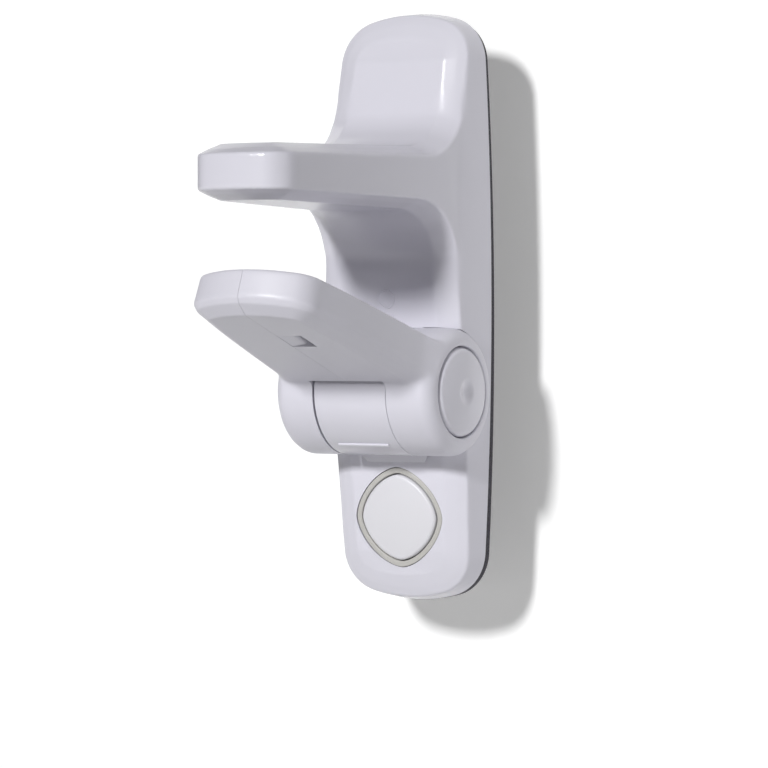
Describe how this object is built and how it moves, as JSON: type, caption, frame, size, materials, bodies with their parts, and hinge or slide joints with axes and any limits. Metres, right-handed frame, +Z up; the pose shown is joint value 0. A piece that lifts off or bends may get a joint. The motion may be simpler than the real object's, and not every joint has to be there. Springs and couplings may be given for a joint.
{
  "type": "door lever lock",
  "caption": "Stick-on child-safety lock for a door lever: a fixed upper arm, a hinged lower arm freed by pressing both hinge-end buttons, and a decoy button.",
  "frame": {"origin": "centre of the adhesive pad's rear face, the face that sticks to the door", "axes": "+Z up along the door, -Y out of the door towards the person using it, +X to the right for that person, along the hinge"},
  "size_m": [0.0498, 0.0878, 0.1512],
  "materials": {
    "housing_white": "soft-gloss moulded white with a faint lavender tint",
    "arm_white": "soft-gloss moulded white with a faint lavender tint",
    "button_white": "soft-gloss moulded white with a faint lavender tint",
    "decoy_white": "neutral white, satin",
    "ring_grey": "warm grey, soft satin",
    "foam_dark": "closed-cell foam, matt",
    "plate_grey": "fine matt texture",
    "plunger_cream": "smooth, slightly waxy",
    "bearing_white": "smooth, slightly waxy",
    "steel": "drawn and plated"
  },
  "bodies": {
    "base": {"base_housing": "housing_white", "back_plate": "plate_grey", "adhesive_pad": "foam_dark", "back_plate_screw_1": "steel", "back_plate_screw_2": "steel", "back_plate_screw_3": "steel", "back_plate_screw_4": "steel", "decoy_ring": "ring_grey", "decoy_spring": "steel", "hinge_pin": "steel", "pin_clip_right": "steel", "pin_clip_left": "steel"},
    "arm": {"arm_right_half": "arm_white", "arm_left_half": "arm_white", "friction_ring_right": "bearing_white", "friction_ring_left": "bearing_white", "button_spring_right": "steel", "button_spring_left": "steel"},
    "button_right": {"side_button_right": "button_white", "lock_plunger_right": "plunger_cream"},
    "button_left": {"side_button_left": "button_white", "lock_plunger_left": "plunger_cream"},
    "decoy_button": {"decoy_button_cap": "decoy_white"}
  },
  "joints": [
    {"name": "arm_swing", "type": "hinge", "parent": "base", "child": "arm", "pos_m": [0, -0.0193, -0.0216], "axis": [1, 0, 0], "range_deg": [0, 105]},
    {"name": "button_right_press", "type": "slide", "parent": "arm", "child": "button_right", "axis": [-1, 0, 0], "range_m": [0, 0.0028], "stiffness_N_per_m": 800, "springref_m": -0.002, "deforming": ["button_spring_right"]},
    {"name": "button_left_press", "type": "slide", "parent": "arm", "child": "button_left", "axis": [1, 0, 0], "range_m": [0, 0.0028], "stiffness_N_per_m": 800, "springref_m": -0.002, "deforming": ["button_spring_left"]},
    {"name": "decoy_press", "type": "slide", "parent": "base", "child": "decoy_button", "axis": [0, 0.996, 0.0897], "range_m": [0, 0.0012], "stiffness_N_per_m": 600, "springref_m": -0.001, "deforming": ["decoy_spring"]}
  ]
}
